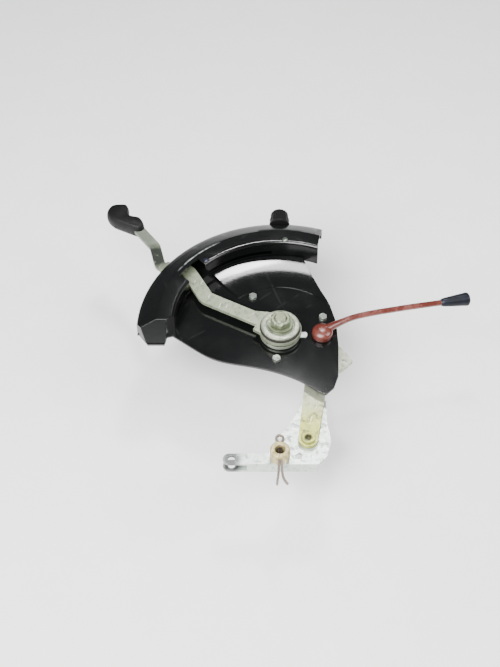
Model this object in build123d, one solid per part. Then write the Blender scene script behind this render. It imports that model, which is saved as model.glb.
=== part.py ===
from build123d import *
import math
import os

os.makedirs("parts", exist_ok=True)

# Overall sizes (mm).  X runs right, Y up the quadrant, Z out of the mounting face.
STANDOFF = 34.0            # mounting face to the rear of the side plate
PLATE_THICK = 3.0
CREST_RADIUS = 190.0       # outer wall of the gate channel
RIDGE_RADIUS = 163.0       # fold between bevel and lip
INNER_RADIUS = 140.0       # inner wall of the gate channel
CREST_HEIGHT = 21.0        # heights above the rear of the side plate
RIDGE_HEIGHT = 35.0
CHANNEL_SHEET = 2.0
FOLD_RADIUS = 4.5          # outside radius of the channel's folds
CHANNEL_START = 62.0       # angle where the swept channel begins, before the right cut
END_BASE_Y = -14.0         # foot of the slanted end cap
END_LEAN = 24.0
END_TAPER = 12.0            # the channel narrows by this much at its left end
STEP_RADIUS = 85.0         # pressed step in the side plate
STEP_RISE = 0.8            # the pressed panel climbs from here
PANEL_CURVE = 2.5          # power of the dished profile, flat at the step and steep at the channel
PANEL_RISE = 5.7           # to here at the channel

# Running fits and gaps
RUNNING_FIT = 0.05         # radial, shaft in tube
SEAT_GAP = 0.3             # between pieces that move past each other
BOLT_CLEARANCE = 0.25      # radial, bolt in a drilled hole
FIT = 0.02                 # radial, pieces pressed together

# Main pivot stack, heights above the rear of the side plate
SHAFT_RADIUS = 8.0
SHAFT_FOOT_RADIUS = 6.0
TUBE_RADIUS = 12.0
HUB_RADIUS = 27.0
TAB_WASHER_THICK = 1.5
BUSH_THICK = 4.5
FRICTION_THICK = 3.0
LEVER_THICK = 5.0
EYE_RADIUS = 28.0
PRESSURE_RADIUS = 25.5
PRESSURE_THICK = 3.5
SPRING_RADIUS = 17.0
SPRING_THICK = 1.2
HUB_NUT_FLATS = 24.0
HUB_NUT_HEIGHT = 8.0
SHAFT_PROUD = 2.0
LEVER_WIDTH = 20.0
STEM_WIDTH = 15.0
LEVER_LOW = PLATE_THICK + TAB_WASHER_THICK + BUSH_THICK + FRICTION_THICK
LEVER_HIGH = LEVER_LOW + LEVER_THICK
SLOT_MARGIN = 1.0          # slot edge to the lever face
SLOT_LOW = LEVER_LOW - SLOT_MARGIN
SLOT_HIGH = LEVER_HIGH + SLOT_MARGIN
INNER_SLOT = (94.0, 171.0) # start and end angle of the slot in the inner wall
CREST_SLOT = (74.5, 172.0)
NOTCH = (135.5, 150.5)     # fitting notch in the lip
NOTCH_RADIUS = 156.0

# Lever centre line from pivot to knob neck, and the knob's outline, in crest radii
LEVER_PATH = [(0, 0), (-0.521, 0.284), (-0.663, 0.553), (-0.826, 0.579)]
STEM_PATH = [(-0.763, 0.568), (-0.863, 0.589), (-0.911, 0.789), (-1.052, 0.985)]
KNOB_THICK = 22.0
KNOB_OUTLINE = [(-1.000, 0.975), (-1.032, 1.058), (-1.112, 1.090), (-1.128, 1.172), (-1.160, 1.203),
                (-1.255, 1.190), (-1.291, 1.115), (-1.250, 1.040), (-1.155, 0.985), (-1.050, 0.940)]

# Throttle crank behind the plate
CRANK_LENGTH = 60.0
CRANK_DIRECTION = -165.0
CRANK_THICK = 5.0
CRANK_HOLE_RADIUS = 4.0
CRANK_NUT_FLATS = 19.0
CRANK_NUT_HEIGHT = 6.5
CRANK_WASHER_THICK = 1.5

# Selector (red) lever
SELECTOR_X, SELECTOR_Y = 56.0, -1.0
SELECTOR_SHAFT_RADIUS = 6.0
SELECTOR_TUBE_RADIUS = 10.0
SELECTOR_TUBE_DEPTH = 7.5
BOSS_RADIUS = 14.0
BOSS_SIDE = 8.0            # height of the straight side below the dome
BOSS_DOME = 5.0
ROD_RADIUS = 4.0
ROD_ROOT_RADIUS = 6.3
ROD_ROOT_LENGTH = 30.0
ROD_RISE = 7.5             # rod axis above the front of the side plate
ROD_PATH = [(60, 2), (80, 14.6), (108, 27), (162, 39.4), (224, 51)]
SELECTOR_KNOB_LENGTH = 41.0
SELECTOR_KNOB_SMALL = 5.5
SELECTOR_KNOB_LARGE = 9.8
DROP_THICK = 5.0
DROP_LOW = -13.0
DROP_HUB_RADIUS = 16.0
DROP_NUT_FLATS = 17.0
PIN_X, PIN_Y = 33.0, -160.0
PIN_RADIUS = 6.0
PIN_BORE = 3.8
PIN_HEAD_RADIUS = 9.0
PIN_HEAD_THICK = 2.5

# Floating link, a folded sheet with an open clevis at the left
LINK_SHEET = 3.0
LINK_WASHER = 1.0
LINK_TOP = DROP_LOW - LINK_WASHER
LINK_DEPTH = 17.0          # over both leaves
LINK_OUTLINE = [(30, -97), (58, -97), (58, -130), (62, -160), (57, -182), (45, -195),
                (-66, -195), (-66, -179), (-18, -179), (-8, -160), (8, -138)]
ARM_LOW_Y, ARM_HIGH_Y = -195.0, -179.0
CLEVIS_X = -63.0
CLEVIS_CUT_X = -44.0       # the web is cut away left of this
CLEVIS_HOLE_RADIUS = 4.5
REAR_LEAF_END = 22.0

# Swivel with split pin
SWIVEL_X, SWIVEL_Y = -3.0, -185.5
SWIVEL_RADIUS = 12.5
SWIVEL_HEIGHT = 18.0
SWIVEL_BORE = 6.0
SWIVEL_STEM = 4.5
SPLIT_RADIUS = 2.5
SPLIT_RISE = 11.5          # pin axis above the foot of the swivel

# Sliding stop
STOP_ANGLE = 89.4
STOP_STUD_RADIUS = 3.0
STOP_KNOB_RADIUS = 14.0
STOP_KNOB_LENGTH = 22.5
STOP_FLANGE_RADIUS = 15.0
STOP_FLANGE_THICK = 3.0
STOP_HEIGHT = (SLOT_LOW + SLOT_HIGH) / 2

# Fasteners
M6_RADIUS = 3.0
M6_HEAD_FLATS = 10.0
M6_HEAD_HEIGHT = 4.0
M6_NUT_HEIGHT = 5.0
M6_TAIL = 2.5
BRACKET_BOLTS = [(-36.0, 66.5), (-5.3, -42.2)]
SELECTOR_SCREW = (58.0, 29.4)
SCREW_ANGLES = [86.5, 133.5]
SCREW_SEAT_RADIUS = 145.0

# Mounting bracket
BRACKET_SHEET = 4.0
BASE_OUTLINE = [(-50, -14), (-38, -24), (-20, -28), (45, -28), (45, 59), (-50, 59)]
MOUNT_SPACING_X, MOUNT_SPACING_Y = 60.0, 32.0
MOUNT_HOLE_RADIUS = 3.5
UPPER_LEG = (-50.0, -22.0, 55.0)   # left, right, inner face
LOWER_LEG = (-12.0, 10.0, -24.0)
TAB_REACH = 20.0


def up(height):
    """Height above the rear of the side plate, as a Z value."""
    return STANDOFF + height


def disc(radius, low, high, x=0.0, y=0.0, bore=0.0):
    """Upright disc between two heights, with an optional through bore."""
    face = Circle(radius)
    if bore:
        face -= Circle(bore)
    return Pos(x, y, up(low)) * extrude(face, high - low)


def hexagon(flats, low, high, x=0.0, y=0.0, bore=0.0):
    """Hexagonal nut or bolt head with chamfered corners."""
    body = extrude(RegularPolygon(flats / 2, 6, major_radius=False), high - low)
    corner = flats / 2 / math.cos(math.pi / 6)
    top = Cylinder(corner, high - low, align=(Align.CENTER, Align.CENTER, Align.MIN))
    top = chamfer(top.edges().group_by(Axis.Z)[-1], (corner - flats / 2) * 0.9)
    body = body & top
    if bore:
        body -= Cylinder(bore, 4 * (high - low))
    return Pos(x, y, up(low)) * body


def scaled(points, size):
    """Points given in multiples of one size."""
    return [(size * x, size * y) for x, y in points]


def sheet(points, low, high, corner=0.0):
    """Flat plate cut to an outline, with rounded corners."""
    face = make_face(Polyline(*points, close=True).edges())
    if corner:
        face = fillet(face.vertices(), corner)
    return Pos(0, 0, up(low)) * extrude(face, high - low)


def tapered(first, second, first_radius, second_radius, low, high):
    """Flat arm wrapped round two circles of different size."""
    a = Pos(*first) * Circle(first_radius)
    b = Pos(*second) * Circle(second_radius)
    return Pos(0, 0, up(low)) * extrude(make_hull(a.edges() + b.edges()), high - low)


def ribbon(path, width, low, high, bend):
    """Flat bar that follows a path with rounded bends."""
    line = FilletPolyline(*path, radius=bend)
    return Pos(0, 0, up(low)) * extrude(trace(line, line_width=width), high - low)


def section(points, bend, side=1):
    """Closed (radius, height) outline, with the points between first and last bent."""
    face = make_face(Polyline(*[(side * r, up(h)) for r, h in points], close=True).edges())
    if bend:
        folds = [min(face.vertices(), key=lambda v: math.dist((v.X, v.Y), (side * r, up(h))))
                 for r, h in points[1:-1]]
        face = fillet(folds, bend)
    return Plane.XZ * face


def sweep_section(points, start, end, bend=0.0):
    """Sweep a (radius, height) outline about the main pivot from start to end angle."""
    return Rot(0, 0, start) * revolve(section(points, bend), Axis.Z, revolution_arc=end - start)


def straight_section(points, back, front, bend=0.0):
    """The same outline drawn straight in Y at the left end of the channel."""
    return Pos(0, back, 0) * extrude(section(points, bend, -1), back - front)


def slot_band(radius, span, low, high, depth=8.0):
    """Curved cutter for a slot through a wall at one radius."""
    section = [(radius - depth, low), (radius + depth, low),
               (radius + depth, high), (radius - depth, high)]
    return sweep_section(section, span[0], span[1])


def save(solid, name):
    """Write one named piece."""
    export_step(solid, "parts/" + name + ".step")


# Gate channel: crest wall, bevel, lip and inner wall folded from one sheet
OUTER_SECTION = [(CREST_RADIUS, PLATE_THICK), (CREST_RADIUS, CREST_HEIGHT),
                 (RIDGE_RADIUS, RIDGE_HEIGHT), (INNER_RADIUS, RIDGE_HEIGHT),
                 (INNER_RADIUS, PLATE_THICK)]
HOLLOW_SECTION = [(CREST_RADIUS - CHANNEL_SHEET, 0), (CREST_RADIUS - CHANNEL_SHEET, CREST_HEIGHT - 1.3),
                  (RIDGE_RADIUS - 0.6, RIDGE_HEIGHT - CHANNEL_SHEET),
                  (INNER_RADIUS + CHANNEL_SHEET, RIDGE_HEIGHT - CHANNEL_SHEET),
                  (INNER_RADIUS + CHANNEL_SHEET, 0)]
lean = math.radians(END_LEAN)
end_plane = Plane(origin=(-165, END_BASE_Y, up(0)), x_dir=(1, 0, 0),
                  z_dir=(0, -math.cos(lean), math.sin(lean)))
beyond_end = end_plane * Box(120, 160, 60, align=(Align.CENTER, Align.CENTER, Align.MIN))
edge_x = -CREST_RADIUS
corner_cut = sheet([(edge_x - 2, 6), (edge_x + 16, -20), (edge_x + 16, -60), (edge_x - 50, -60),
                    (edge_x - 50, 6)], -5, 60)
right_cut = sheet(scaled([(0.337, 1.0), (0.284, 0.711), (0.284, 0.474), (0.737, 0.474),
                          (0.737, 1.263), (0.337, 1.263)], CREST_RADIUS), -5, 60)
taper_x = -INNER_RADIUS - END_TAPER
taper_cut = sheet([(-INNER_RADIUS + 2, 8), (taper_x + 1, -2), (taper_x, -60),
                   (-INNER_RADIUS + 30, -60), (-INNER_RADIUS + 30, 8)], -5, 60)
inner_bend = FOLD_RADIUS - CHANNEL_SHEET

full_channel = sweep_section(OUTER_SECTION, CHANNEL_START, 180, FOLD_RADIUS)
full_channel += straight_section(OUTER_SECTION, 0.0, -30.0, FOLD_RADIUS)
full_channel = full_channel - beyond_end - corner_cut - taper_cut
hollow = sweep_section(HOLLOW_SECTION, CHANNEL_START - 5, 180, inner_bend)
hollow += straight_section(HOLLOW_SECTION, 0.0, -40.0, inner_bend)
wall_offset = CHANNEL_SHEET * 1.2
hollow -= Pos(wall_offset, wall_offset, 0) * corner_cut
hollow -= Pos(-wall_offset, wall_offset, 0) * taper_cut
gate_channel = full_channel - hollow - right_cut
gate_channel -= slot_band(INNER_RADIUS, INNER_SLOT, SLOT_LOW, SLOT_HIGH)
gate_channel -= slot_band(CREST_RADIUS, CREST_SLOT, SLOT_LOW, SLOT_HIGH)
notch_section = [(INNER_RADIUS - 5, SLOT_LOW), (NOTCH_RADIUS, SLOT_LOW),
                 (NOTCH_RADIUS, RIDGE_HEIGHT + 5), (INNER_RADIUS - 5, RIDGE_HEIGHT + 5)]
gate_channel -= sweep_section(notch_section, NOTCH[0], NOTCH[1])
for angle in SCREW_ANGLES:
    hole = disc(M6_RADIUS - 1 + BOLT_CLEARANCE, RIDGE_HEIGHT - 5, RIDGE_HEIGHT + 5, SCREW_SEAT_RADIUS)
    gate_channel -= Rot(0, 0, angle) * hole
save(gate_channel, "gate_channel")

cap_slab = end_plane * Box(120, 160, CHANNEL_SHEET, align=(Align.CENTER, Align.CENTER, Align.MIN))
cap_block = straight_section(OUTER_SECTION, 30.0, -40.0, FOLD_RADIUS) - corner_cut - taper_cut
save(cap_block & cap_slab, "channel_end_cap")

screws = Compound(children=[
    Rot(0, 0, angle) * (
        disc(4.0, RIDGE_HEIGHT, RIDGE_HEIGHT + 2.6, SCREW_SEAT_RADIUS)
        - disc(1.4, RIDGE_HEIGHT + 1.2, RIDGE_HEIGHT + 4, SCREW_SEAT_RADIUS)
        + disc(M6_RADIUS - 1, RIDGE_HEIGHT - 6, RIDGE_HEIGHT, SCREW_SEAT_RADIUS))
    for angle in SCREW_ANGLES])
save(screws, "channel_screws")

# Side plate
crest_start, crest_mid = math.radians(86.5), math.radians(135)
crest_point = lambda a: (CREST_RADIUS * math.cos(a), CREST_RADIUS * math.sin(a))
plate_edges = [
    ThreePointArc(crest_point(crest_start), crest_point(crest_mid), (-CREST_RADIUS, 0)),
    Polyline((edge_x, 0), (edge_x + 2, 1), (edge_x + 14.5, -17), (-INNER_RADIUS - 13, -17),
             (-INNER_RADIUS - 10, -4), (-INNER_RADIUS - 3, -2)),
    Spline((-INNER_RADIUS - 3, -2), (-119.3, -20.4), (-85.9, -42.5), (-40, -53.9), (11.7, -70.9), (46, -94)),
    Polyline((46, -94), (57.5, -99.5), (68, -89), (74.5, -70), (77, -16), (75.5, 22.5), (68.5, 53),
             (56.2, 80.7), crest_point(crest_start))]
plate_face = make_face([edge for part in plate_edges for edge in part.edges()])
side_plate = Pos(0, 0, up(0)) * extrude(plate_face, PLATE_THICK)
panel_outer = INNER_RADIUS - 1.5
panel_shares = [1, 0.93, 0.85, 0.75, 0.65, 0.5, 0.35, 0.2, 0]
step_section = [(STEP_RADIUS, PLATE_THICK - 1), (panel_outer, PLATE_THICK - 1)]
step_section += [(STEP_RADIUS + (panel_outer - STEP_RADIUS) * share,
                  PLATE_THICK + STEP_RISE + PANEL_RISE * share ** PANEL_CURVE) for share in panel_shares]
pressed = sweep_section(step_section, 40, 131) & (Pos(0, 0, up(0)) * extrude(plate_face, 10))
side_plate += pressed
side_plate -= disc(TUBE_RADIUS + FIT, -1, PLATE_THICK + 5)
side_plate -= disc(SELECTOR_TUBE_RADIUS + FIT, -1, PLATE_THICK + 5, SELECTOR_X, SELECTOR_Y)
for x, y in BRACKET_BOLTS + [SELECTOR_SCREW]:
    side_plate -= disc(M6_RADIUS + BOLT_CLEARANCE, -1, PLATE_THICK + 5, x, y)
save(side_plate, "side_plate")

# Main pivot
crank_high = -PLATE_THICK - 11.0
crank_low = crank_high - CRANK_THICK
stack = PLATE_THICK
pivot_tube = disc(TUBE_RADIUS, crank_high + SEAT_GAP, LEVER_LOW - SEAT_GAP, bore=SHAFT_RADIUS + RUNNING_FIT)
save(pivot_tube, "pivot_tube")
tab_washer = disc(HUB_RADIUS - 1, stack, stack + TAB_WASHER_THICK)
ear = Pos(EYE_RADIUS, -1, up(stack)) * Box(16, 9, TAB_WASHER_THICK, align=(Align.CENTER, Align.CENTER, Align.MIN))
tab_washer = tab_washer + fillet(ear.edges().filter_by(Axis.Z).group_by(Axis.X)[-1], 3)
tab_washer -= disc(TUBE_RADIUS + FIT, stack - 1, stack + 5)
save(tab_washer, "tab_washer")
stack += TAB_WASHER_THICK
bush = disc(HUB_RADIUS, stack, stack + BUSH_THICK, bore=TUBE_RADIUS + FIT)
save(chamfer(bush.edges().group_by(Axis.Z)[0].sort_by(SortBy.RADIUS)[-1], 0.8), "pivot_bush")
stack += BUSH_THICK
save(disc(HUB_RADIUS, stack, stack + FRICTION_THICK, bore=TUBE_RADIUS + FIT), "rear_friction_disc")
stack += FRICTION_THICK

# Throttle lever bar with its eye
lever_bar = ribbon(scaled(LEVER_PATH, CREST_RADIUS), LEVER_WIDTH, LEVER_LOW, LEVER_HIGH, 14)
lever_bar += ribbon(scaled(STEM_PATH, CREST_RADIUS), STEM_WIDTH, LEVER_LOW, LEVER_HIGH, 12)
lever_bar += disc(EYE_RADIUS, LEVER_LOW, LEVER_HIGH)
lever_bar += sheet([(-8, 26.5), (-36, 30), (-30, 8), (-36, -2), (-26, -9), (0, -12)], LEVER_LOW, LEVER_HIGH)
lever_bar -= disc(SHAFT_RADIUS + FIT, LEVER_LOW - 1, LEVER_HIGH + 1)
knob_middle = (LEVER_LOW + LEVER_HIGH) / 2
knob = sheet(scaled(KNOB_OUTLINE, CREST_RADIUS), knob_middle - KNOB_THICK / 2,
             knob_middle + KNOB_THICK / 2, 4.0)
knob = fillet(knob.edges().group_by(Axis.Z)[-1] + knob.edges().group_by(Axis.Z)[0], 3.5)
knob -= lever_bar
save(lever_bar, "lever_bar")
save(knob, "lever_knob")

# Clamping stack on top of the lever
stack = LEVER_HIGH
save(disc(HUB_RADIUS, stack, stack + FRICTION_THICK, bore=SHAFT_RADIUS + FIT), "front_friction_disc")
stack += FRICTION_THICK
pressure = disc(PRESSURE_RADIUS, stack, stack + PRESSURE_THICK, bore=SHAFT_RADIUS + FIT)
save(chamfer(pressure.edges().group_by(Axis.Z)[-1].sort_by(SortBy.RADIUS)[-1], 1.0), "pressure_washer")
stack += PRESSURE_THICK


def cone_washer(low, rising):
    """Spring washer: a shallow cone ring, opening up or down."""
    lift = SPRING_THICK
    inner, outer = SHAFT_RADIUS + FIT, SPRING_RADIUS
    a, b = (0.0, lift) if rising else (lift, 0.0)
    section = [(inner, low + a), (outer, low + b), (outer, low + b + SPRING_THICK), (inner, low + a + SPRING_THICK)]
    return sweep_section(section, 0, 360)


spring_washers = Compound(children=[cone_washer(stack, False), cone_washer(stack + 2 * SPRING_THICK, True)])
save(spring_washers, "spring_washers")
stack += 4 * SPRING_THICK
nut_low = stack
save(hexagon(HUB_NUT_FLATS, nut_low, nut_low + HUB_NUT_HEIGHT, bore=SHAFT_RADIUS + FIT), "hub_nut")
shaft_top = nut_low + HUB_NUT_HEIGHT + SHAFT_PROUD
nut_foot = crank_low - CRANK_WASHER_THICK - CRANK_NUT_HEIGHT
pivot_shaft = disc(SHAFT_RADIUS, crank_high, shaft_top)
pivot_shaft = chamfer(pivot_shaft.edges().group_by(Axis.Z)[-1], 1.2)
pivot_shaft += disc(SHAFT_FOOT_RADIUS, nut_foot - 1.0, crank_high)
save(pivot_shaft, "pivot_shaft")

# Throttle crank behind the plate
turn = math.radians(CRANK_DIRECTION)
crank_end = (CRANK_LENGTH * math.cos(turn), CRANK_LENGTH * math.sin(turn))
crank = tapered((0, 0), crank_end, 14, 9, crank_low, crank_high)
crank -= disc(SHAFT_FOOT_RADIUS + FIT, crank_low - 1, crank_high + 1)
crank -= disc(CRANK_HOLE_RADIUS, crank_low - 1, crank_high + 1, *crank_end)
save(crank, "throttle_crank")
save(disc(13, crank_low - CRANK_WASHER_THICK, crank_low, bore=SHAFT_FOOT_RADIUS + FIT), "crank_washer")
save(hexagon(CRANK_NUT_FLATS, nut_foot, crank_low - CRANK_WASHER_THICK, bore=SHAFT_FOOT_RADIUS + FIT), "crank_nut")

# Selector lever
sx, sy = SELECTOR_X, SELECTOR_Y
tube_top = PLATE_THICK + SEAT_GAP * 2
tube = disc(SELECTOR_TUBE_RADIUS, -SELECTOR_TUBE_DEPTH, tube_top, sx, sy, SELECTOR_SHAFT_RADIUS + RUNNING_FIT)
save(tube, "selector_tube")
boss_low = tube_top + SEAT_GAP
boss_top = boss_low + BOSS_SIDE + BOSS_DOME
boss = disc(BOSS_RADIUS, boss_low, boss_top, sx, sy)
boss = fillet(boss.edges().group_by(Axis.Z)[-1], BOSS_DOME - 0.2)
drop_high = DROP_LOW + DROP_THICK
shaft_low = DROP_LOW - 10.0
boss -= disc(SELECTOR_SHAFT_RADIUS + FIT, boss_low - 1, boss_low + 6, sx, sy)
rod_height = up(PLATE_THICK + ROD_RISE)
rod_line = FilletPolyline(*[(x, y, rod_height) for x, y in ROD_PATH], radius=30)
rod_start = Plane(origin=rod_line @ 0, z_dir=rod_line % 0)
rod = sweep(rod_start * Circle(ROD_RADIUS), path=rod_line)
rod += rod_start * Cone(ROD_ROOT_RADIUS, ROD_RADIUS, ROD_ROOT_LENGTH, align=(Align.CENTER, Align.CENTER, Align.MIN))
end = ROD_PATH[-1]
before = ROD_PATH[-2]
length = math.hypot(end[0] - before[0], end[1] - before[1])
along = ((end[0] - before[0]) / length, (end[1] - before[1]) / length)
knob_start = Vector(end[0] - 6 * along[0], end[1] - 6 * along[1], rod_height)
knob_plane = Plane(origin=knob_start, z_dir=(along[0], along[1], 0))
selector_knob = Cone(SELECTOR_KNOB_SMALL, SELECTOR_KNOB_LARGE, SELECTOR_KNOB_LENGTH,
                     align=(Align.CENTER, Align.CENTER, Align.MIN))
selector_knob = fillet(selector_knob.edges().group_by(Axis.Z)[-1], 4.5)
selector_knob = knob_plane * selector_knob - rod
rod -= disc(BOSS_RADIUS - 1.5, boss_low - 2, boss_top + 2, sx, sy)
boss -= rod
save(boss, "selector_boss")
save(rod, "selector_rod")
save(selector_knob, "selector_knob")
save(disc(SELECTOR_SHAFT_RADIUS, shaft_low, boss_low + 6, sx, sy), "selector_shaft")
drop_arm = tapered((sx, sy), (PIN_X, PIN_Y), DROP_HUB_RADIUS, 12.5, DROP_LOW, drop_high)
drop_arm += sheet([(sx, sy + 15), (77, -8), (96, -36), (80, -52), (50, -64)], DROP_LOW, drop_high, 3)
drop_arm -= disc(SELECTOR_SHAFT_RADIUS + FIT, DROP_LOW - 1, drop_high + 1, sx, sy)
drop_arm -= disc(PIN_RADIUS + FIT, DROP_LOW - 1, drop_high + 1, PIN_X, PIN_Y)
drop_arm -= disc(3, DROP_LOW - 1, drop_high + 1, 84, -36)
save(drop_arm, "drop_arm")
save(disc(12, DROP_LOW - 1.5, DROP_LOW, sx, sy, SELECTOR_SHAFT_RADIUS + FIT), "drop_arm_washer")
save(hexagon(DROP_NUT_FLATS, DROP_LOW - 8.5, DROP_LOW - 1.5, sx, sy, SELECTOR_SHAFT_RADIUS + FIT), "drop_arm_nut")
pin_low = LINK_TOP - LINK_SHEET - 4.5
link_pin = disc(PIN_RADIUS, pin_low, drop_high, PIN_X, PIN_Y)
link_pin += disc(PIN_HEAD_RADIUS, drop_high, drop_high + PIN_HEAD_THICK, PIN_X, PIN_Y)
link_pin -= disc(PIN_BORE, pin_low - 1, drop_high + 5, PIN_X, PIN_Y)
save(link_pin, "link_pin")
clip_high = LINK_TOP - LINK_SHEET - SEAT_GAP
save(disc(9, clip_high - 1.5, clip_high, PIN_X, PIN_Y, PIN_RADIUS + FIT), "link_pin_clip")

# Floating link
link_low = LINK_TOP - LINK_SHEET
link_foot = LINK_TOP - LINK_DEPTH
front_leaf = sheet(LINK_OUTLINE, link_low, LINK_TOP)
arm_middle = (ARM_LOW_Y + ARM_HIGH_Y) / 2
arm_half = (ARM_HIGH_Y - ARM_LOW_Y) / 2
front_leaf += disc(arm_half, link_low, LINK_TOP, -66, arm_middle)
rear_leaf = sheet([(-66, ARM_LOW_Y), (REAR_LEAF_END, ARM_LOW_Y), (REAR_LEAF_END, ARM_HIGH_Y), (-66, ARM_HIGH_Y)],
                  link_foot, link_foot + LINK_SHEET)
rear_leaf += disc(arm_half, link_foot, link_foot + LINK_SHEET, -66, arm_middle)
web = sheet([(CLEVIS_CUT_X, ARM_LOW_Y), (45, ARM_LOW_Y), (45, ARM_LOW_Y + LINK_SHEET),
             (CLEVIS_CUT_X, ARM_LOW_Y + LINK_SHEET)], link_foot, LINK_TOP)
link_plate = front_leaf + rear_leaf + web
link_plate -= disc(CLEVIS_HOLE_RADIUS, link_foot - 1, LINK_TOP + 1, CLEVIS_X, arm_middle)
link_plate -= disc(PIN_RADIUS + RUNNING_FIT, link_foot - 1, LINK_TOP + 1, PIN_X, PIN_Y)
link_plate -= disc(SWIVEL_STEM + RUNNING_FIT, link_low - 1, LINK_TOP + 1, SWIVEL_X, SWIVEL_Y)
link_plate -= disc(4.5, link_low - 1, LINK_TOP + 1, 21, -183)
link_plate -= disc(3, link_low - 1, LINK_TOP + 1, 44, -106)
oblong = Pos(17, -136, up(link_low - 1)) * Rot(0, 0, -30) * extrude(SlotOverall(11, 4.5), LINK_SHEET + 2)
save(link_plate - oblong, "link_plate")
save(disc(11, LINK_TOP, LINK_TOP + LINK_WASHER, PIN_X, PIN_Y, PIN_RADIUS + RUNNING_FIT), "link_washer")

# Swivel
swivel_low = LINK_TOP + LINK_WASHER
swivel_top = swivel_low + SWIVEL_HEIGHT
split_z = swivel_low + SPLIT_RISE
swivel = disc(SWIVEL_RADIUS, swivel_low, swivel_top, SWIVEL_X, SWIVEL_Y)
swivel = chamfer(swivel.edges().group_by(Axis.Z)[-1], 1.2)
swivel -= disc(SWIVEL_BORE, swivel_low + 4, swivel_top + 1, SWIVEL_X, SWIVEL_Y)
swivel += disc(SWIVEL_STEM, link_low - 3, swivel_low, SWIVEL_X, SWIVEL_Y)
rivet_high = link_low - SEAT_GAP
swivel += disc(SWIVEL_STEM + 1.5, rivet_high - 2, rivet_high, SWIVEL_X, SWIVEL_Y)
cross_hole = Pos(SWIVEL_X, SWIVEL_Y, up(split_z)) * Rot(90, 0, 0) * Cylinder(SPLIT_RADIUS + FIT, 60)
save(swivel - cross_hole, "swivel_boss")
save(disc(SWIVEL_RADIUS, LINK_TOP, swivel_low, SWIVEL_X, SWIVEL_Y, SWIVEL_STEM + RUNNING_FIT), "swivel_washer")
tail = [(SWIVEL_X, SWIVEL_Y + 17, up(split_z)), (SWIVEL_X, -225, up(split_z)), (7, -234, up(split_z))]
tail_line = FilletPolyline(*tail, radius=6)
split_pin = sweep(Plane(origin=tail[0], z_dir=(0, -1, 0)) * Circle(SPLIT_RADIUS), path=tail_line)
ring = Pos(SWIVEL_X, SWIVEL_Y + 21.5, up(split_z)) * Torus(5.5, 2.2)
save(split_pin + ring, "swivel_split_pin")

# Sliding stop, drawn along +X and turned to its angle
stop_turn = Rot(0, 0, STOP_ANGLE)


def radial(radius, near, far):
    """Round bar lying along the stop axis."""
    return Pos(near, 0, up(STOP_HEIGHT)) * Rot(0, 90, 0) * Cylinder(
        radius, far - near, align=(Align.CENTER, Align.CENTER, Align.MIN))


wall_inside = CREST_RADIUS - CHANNEL_SHEET
shoe_face = [(wall_inside - 7, STOP_HEIGHT - 5.5), (wall_inside - SEAT_GAP, STOP_HEIGHT - 5.5),
             (wall_inside - SEAT_GAP, STOP_HEIGHT + 4.4), (wall_inside - 7, STOP_HEIGHT + 4.4)]
stop_shoe = Rot(0, 0, -STOP_ANGLE) * sweep_section(shoe_face, STOP_ANGLE - 3.6, STOP_ANGLE + 3.6)
stop_shoe -= radial(STOP_STUD_RADIUS + FIT, wall_inside - 20, CREST_RADIUS)
save(stop_turn * stop_shoe, "stop_shoe")
knob_foot = CREST_RADIUS + SEAT_GAP
stud_end = knob_foot + 14
save(stop_turn * radial(STOP_STUD_RADIUS, wall_inside - 7, stud_end), "stop_stud")
stop_knob = radial(STOP_KNOB_RADIUS, knob_foot, knob_foot + STOP_KNOB_LENGTH)
stop_knob = fillet(stop_knob.edges().group_by(Axis.X)[-1], 2.0)
stop_knob += radial(STOP_FLANGE_RADIUS, knob_foot, knob_foot + STOP_FLANGE_THICK)
stop_knob += radial(8, knob_foot, knob_foot + STOP_KNOB_LENGTH + 1.5)
stop_knob -= radial(STOP_STUD_RADIUS + RUNNING_FIT, knob_foot - 1, stud_end + SEAT_GAP)
save(stop_turn * stop_knob, "stop_knob")

# Mounting bracket
bracket = Pos(0, 0, 0) * extrude(make_face(Polyline(*BASE_OUTLINE, close=True).edges()), BRACKET_SHEET)
left, right, inner = UPPER_LEG
bracket += Pos(0, 0, -up(0)) * sheet(
    [(left, inner), (right, inner), (right, inner + BRACKET_SHEET), (left, inner + BRACKET_SHEET)],
    0, up(0))
bracket += sheet([(left, inner), (right, inner), (right, inner + TAB_REACH + 3), (left, inner + TAB_REACH + 3)],
                 -BRACKET_SHEET, 0)
left, right, inner = LOWER_LEG
bracket += Pos(0, 0, -up(0)) * sheet(
    [(left, inner), (right, inner), (right, inner - BRACKET_SHEET), (left, inner - BRACKET_SHEET)],
    0, up(0))
bracket += sheet([(left, inner), (right, inner), (right, inner - TAB_REACH - 8), (left, inner - TAB_REACH - 8)],
                 -BRACKET_SHEET, 0)
for x, y in BRACKET_BOLTS:
    bracket -= disc(M6_RADIUS + BOLT_CLEARANCE, -BRACKET_SHEET - 1, 1, x, y)
for side_x in (-1, 1):
    for side_y in (-1, 1):
        hole = Pos(side_x * MOUNT_SPACING_X / 2, side_y * MOUNT_SPACING_Y / 2, 0)
        bracket -= hole * Cylinder(MOUNT_HOLE_RADIUS, 4 * BRACKET_SHEET)
save(bracket, "mounting_bracket")

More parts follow.
